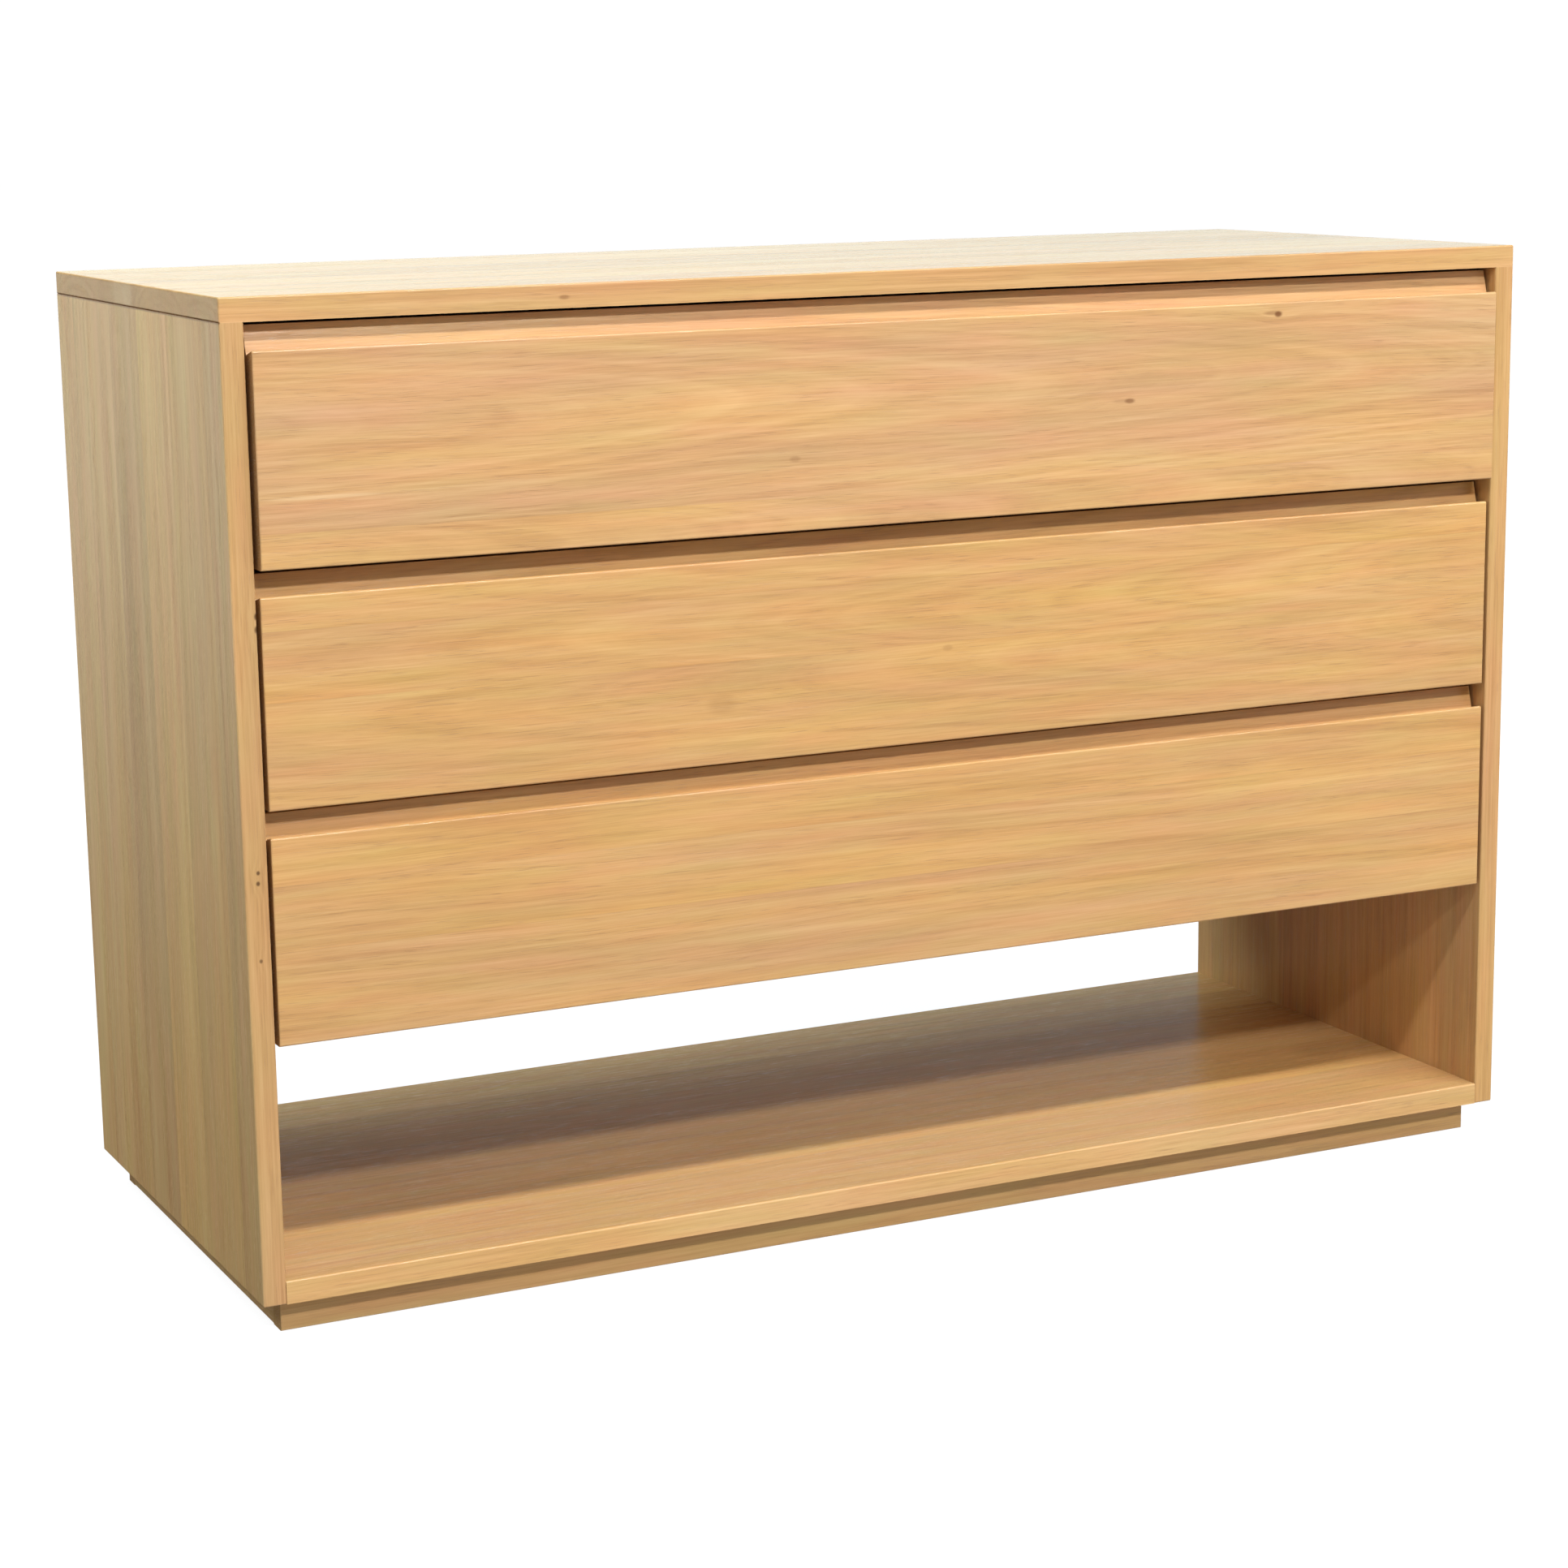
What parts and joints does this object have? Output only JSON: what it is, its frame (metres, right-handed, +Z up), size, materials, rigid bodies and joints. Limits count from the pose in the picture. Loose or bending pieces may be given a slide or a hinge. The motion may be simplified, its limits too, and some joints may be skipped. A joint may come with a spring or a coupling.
{
  "type": "chest of drawers",
  "caption": "Low oak chest of drawers with wide inset drawers opened by finger grooves, above an open shelf on a recessed plinth.",
  "frame": {"origin": "on the floor, below the middle of the carcass, on the underside of the plinth brace", "axes": "+X to the right seen from the front, -Y out of the front, +Z up"},
  "size_m": [1.25, 0.507, 0.86],
  "materials": {
    "oak_carcass": "satin lacquered oak, edge glued boards",
    "oak_front": "satin lacquered oak, grain along the width",
    "oak_box": "thinly lacquered pale oak",
    "oak_plywood": "oak veneered plywood",
    "beech_dowel": "bare beech",
    "zinc_steel": "zinc plated pressed steel",
    "screw_steel": "zinc plated steel"
  },
  "bodies": {
    "carcass": {"top_panel": "oak_carcass", "left_side_panel": "oak_carcass", "right_side_panel": "oak_carcass", "bottom_shelf": "oak_carcass", "rear_rail": "oak_carcass", "plinth_front": "oak_carcass", "plinth_back": "oak_carcass", "plinth_left": "oak_carcass", "plinth_right": "oak_carcass", "plinth_brace": "oak_carcass", "plinth_corner_blocks": "oak_carcass", "back_panel": "oak_plywood", "top_dowels": "beech_dowel", "shelf_dowels": "beech_dowel", "rail_dowels": "beech_dowel", "back_panel_screws": "screw_steel", "cabinet_rail_screws": "screw_steel", "plinth_screws": "screw_steel", "upper_drawer_left_cabinet_rail": "zinc_steel", "upper_drawer_right_cabinet_rail": "zinc_steel", "middle_drawer_left_cabinet_rail": "zinc_steel", "middle_drawer_right_cabinet_rail": "zinc_steel", "lower_drawer_left_cabinet_rail": "zinc_steel", "lower_drawer_right_cabinet_rail": "zinc_steel"},
    "upper_drawer": {"upper_drawer_front": "oak_front", "upper_drawer_left_side": "oak_box", "upper_drawer_right_side": "oak_box", "upper_drawer_back": "oak_box", "upper_drawer_bottom": "oak_plywood", "upper_drawer_dowels": "beech_dowel", "upper_drawer_left_rail": "zinc_steel", "upper_drawer_right_rail": "zinc_steel", "upper_drawer_rail_screws": "screw_steel"},
    "upper_telescopes": {"upper_drawer_left_telescope_rail": "zinc_steel", "upper_drawer_right_telescope_rail": "zinc_steel"},
    "middle_drawer": {"middle_drawer_front": "oak_front", "middle_drawer_left_side": "oak_box", "middle_drawer_right_side": "oak_box", "middle_drawer_back": "oak_box", "middle_drawer_bottom": "oak_plywood", "middle_drawer_dowels": "beech_dowel", "middle_drawer_left_rail": "zinc_steel", "middle_drawer_right_rail": "zinc_steel", "middle_drawer_rail_screws": "screw_steel"},
    "middle_telescopes": {"middle_drawer_left_telescope_rail": "zinc_steel", "middle_drawer_right_telescope_rail": "zinc_steel"},
    "lower_drawer": {"lower_drawer_front": "oak_front", "lower_drawer_left_side": "oak_box", "lower_drawer_right_side": "oak_box", "lower_drawer_back": "oak_box", "lower_drawer_bottom": "oak_plywood", "lower_drawer_dowels": "beech_dowel", "lower_drawer_left_rail": "zinc_steel", "lower_drawer_right_rail": "zinc_steel", "lower_drawer_rail_screws": "screw_steel"},
    "lower_telescopes": {"lower_drawer_left_telescope_rail": "zinc_steel", "lower_drawer_right_telescope_rail": "zinc_steel"}
  },
  "joints": [
    {"name": "upper_drawer_slide", "type": "slide", "parent": "carcass", "child": "upper_drawer", "axis": [0, -1, 0], "range_m": [-0.007, 0.393]},
    {"name": "upper_telescope_slide", "type": "slide", "parent": "carcass", "child": "upper_telescopes", "axis": [0, -1, 0], "range_m": [-0.0035, 0.1965]},
    {"name": "middle_drawer_slide", "type": "slide", "parent": "carcass", "child": "middle_drawer", "axis": [0, -1, 0], "range_m": [0, 0.4]},
    {"name": "middle_telescope_slide", "type": "slide", "parent": "carcass", "child": "middle_telescopes", "axis": [0, -1, 0], "range_m": [0, 0.2]},
    {"name": "lower_drawer_slide", "type": "slide", "parent": "carcass", "child": "lower_drawer", "axis": [0, -1, 0], "range_m": [0, 0.4]},
    {"name": "lower_telescope_slide", "type": "slide", "parent": "carcass", "child": "lower_telescopes", "axis": [0, -1, 0], "range_m": [0, 0.2]}
  ],
  "couplings": [
    {"joint": "upper_telescope_slide", "follows": "upper_drawer_slide", "ratio": 0.5},
    {"joint": "middle_telescope_slide", "follows": "middle_drawer_slide", "ratio": 0.5},
    {"joint": "lower_telescope_slide", "follows": "lower_drawer_slide", "ratio": 0.5}
  ]
}
